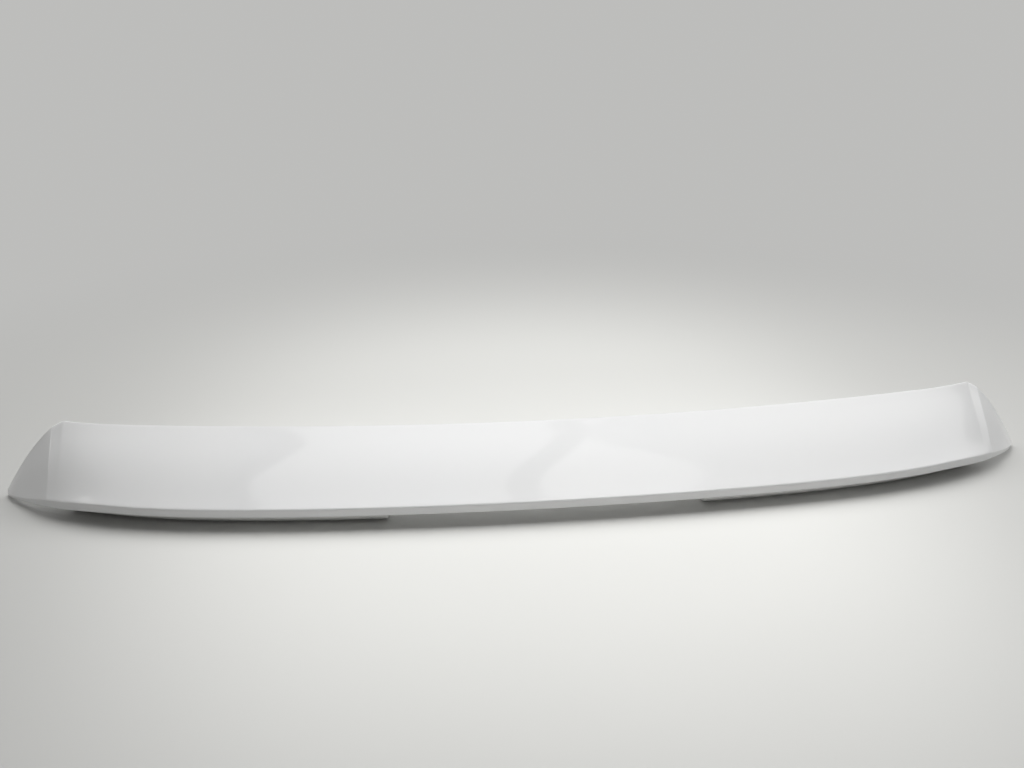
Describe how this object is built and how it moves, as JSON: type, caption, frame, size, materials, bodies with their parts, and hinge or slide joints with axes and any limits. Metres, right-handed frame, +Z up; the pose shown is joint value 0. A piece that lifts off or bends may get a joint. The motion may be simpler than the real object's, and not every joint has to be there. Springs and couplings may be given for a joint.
{
  "type": "car roof spoiler",
  "caption": "Wide white roof spoiler for a car tailgate: bowed painted skin with a thin trailing lip and turned-down cheeks, hollow panels below and studs to bolt it on.",
  "frame": {"origin": "centre of the plan outline's box, on the plane of the closing panels' flat undersides", "axes": "+X along the width, +Y towards the car's tailgate and along the studs, +Z up with the spoiler on its underside"},
  "size_m": [1.2, 0.155, 0.089],
  "materials": {
    "painted_skin": "clear-coated white paint",
    "painted_panel": "satin white paint",
    "stud_steel": "zinc plated",
    "foam": "matt closed-cell foam",
    "clip_nylon": "natural nylon"
  },
  "bodies": {
    "root": {"outer_skin": "painted_skin", "closing_panel_left": "painted_panel", "closing_panel_right": "painted_panel", "stud_outer_left": "stud_steel", "stud_inner_left": "stud_steel", "stud_inner_right": "stud_steel", "stud_outer_right": "stud_steel", "washer_outer_left": "foam", "washer_inner_left": "foam", "washer_inner_right": "foam", "washer_outer_right": "foam", "clip_left": "clip_nylon", "clip_right": "clip_nylon", "leading_seal": "foam", "cheek_seal_left": "foam", "cheek_seal_right": "foam"}
  },
  "joints": []
}
